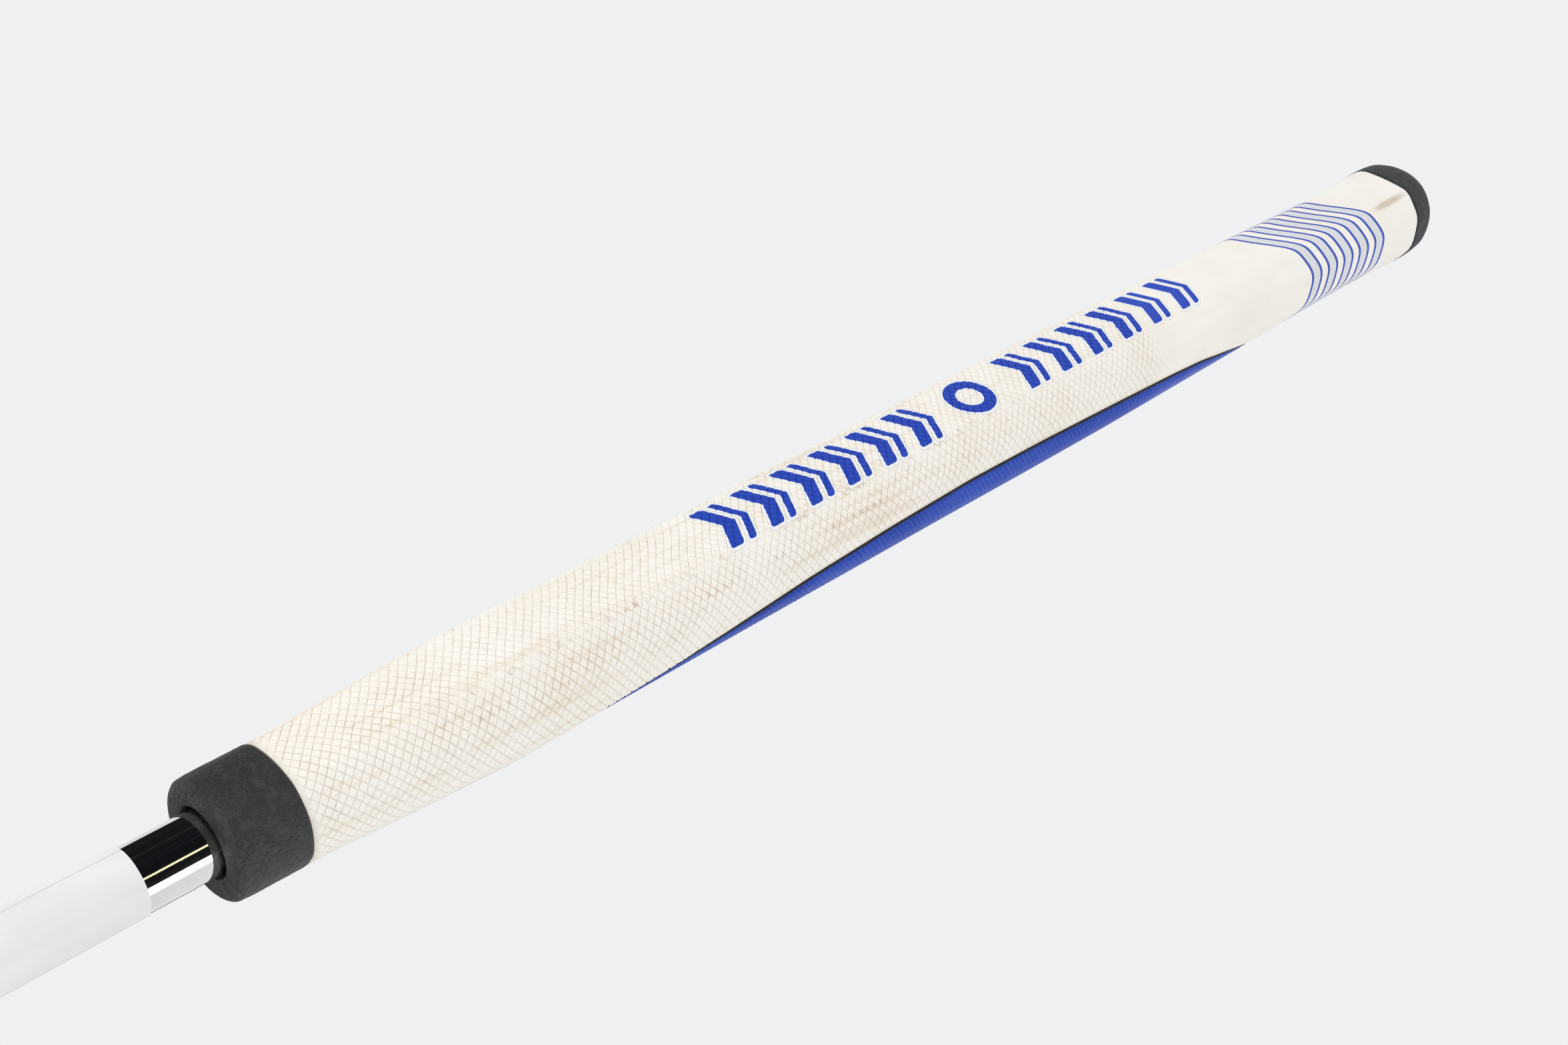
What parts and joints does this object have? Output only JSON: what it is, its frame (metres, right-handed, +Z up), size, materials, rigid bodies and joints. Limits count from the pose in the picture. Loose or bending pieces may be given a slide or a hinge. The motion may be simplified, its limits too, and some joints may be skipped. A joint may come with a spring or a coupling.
{
  "type": "blade putter",
  "caption": "Heel-and-toe weighted blade putter with a plumber's neck, stepped steel shaft, and a wrapped flat-front grip with an inlaid back panel.",
  "frame": {"origin": "resting point of the sole on the ground, under the middle of the face, in the address position", "axes": "+Z up; +X from toe to heel, towards the player; the face looks along -Y, to the target; the shaft leans 20 degrees from +Z towards +X"},
  "size_m": [0.39, 0.0471, 0.839],
  "materials": {
    "cast_steel": "cast stainless, satin bead-blasted with brushed sole",
    "neck_steel": "cast stainless, satin",
    "insert_urethane": "moulded urethane, fine milled grooves",
    "bond_adhesive": "adhesive sheet",
    "line_paint": "paint fill",
    "epoxy": "cured epoxy",
    "shaft_chrome": "bright nickel-chrome plate",
    "label_paper": "coated paper wrap, blank",
    "tape": "double-sided tape",
    "core_rubber": "moulded underlisting",
    "wrap_ivory": "ivory polyurethane wrap, raised diamond pattern, worn and lightly stained",
    "panel_blue": "blue polyurethane panel, raised diamond pattern",
    "ring_rubber": "black rubber, scuffed",
    "cap_rubber": "black rubber",
    "seal_rubber": "black rubber ring",
    "weight_steel": "turned stainless"
  },
  "bodies": {
    "club": {"head_body": "cast_steel", "hosel_neck": "neck_steel", "face_insert": "insert_urethane", "insert_bond": "bond_adhesive", "sight_line": "line_paint", "tip_epoxy": "epoxy", "shaft": "shaft_chrome", "shaft_label": "label_paper", "grip_tape": "tape", "grip_core": "core_rubber", "grip_wrap": "wrap_ivory", "grip_back_panel": "panel_blue", "mouth_ring": "ring_rubber", "butt_cap": "cap_rubber"},
    "heel_ring": {"heel_weight_ring": "seal_rubber"},
    "heel_screw": {"heel_weight": "weight_steel"},
    "toe_ring": {"toe_weight_ring": "seal_rubber"},
    "toe_screw": {"toe_weight": "weight_steel"}
  },
  "joints": [
    {"name": "heel_weight_travel", "type": "slide", "parent": "club", "child": "heel_ring", "axis": [0, 0, -1], "range_m": [0, 0.009]},
    {"name": "heel_weight_turn", "type": "hinge", "parent": "heel_ring", "child": "heel_screw", "pos_m": [0.046, 0.0032, 0.003], "axis": [0, 0, -1], "range_deg": [0, 2165]},
    {"name": "toe_weight_travel", "type": "slide", "parent": "club", "child": "toe_ring", "axis": [0, 0, -1], "range_m": [0, 0.009]},
    {"name": "toe_weight_turn", "type": "hinge", "parent": "toe_ring", "child": "toe_screw", "pos_m": [-0.046, 0.0032, 0.003], "axis": [0, 0, -1], "range_deg": [0, 2165]}
  ],
  "couplings": [
    {"joint": "heel_weight_turn", "follows": "heel_weight_travel", "rad_per_m": 4188.8},
    {"joint": "toe_weight_turn", "follows": "toe_weight_travel", "rad_per_m": 4188.8}
  ]
}
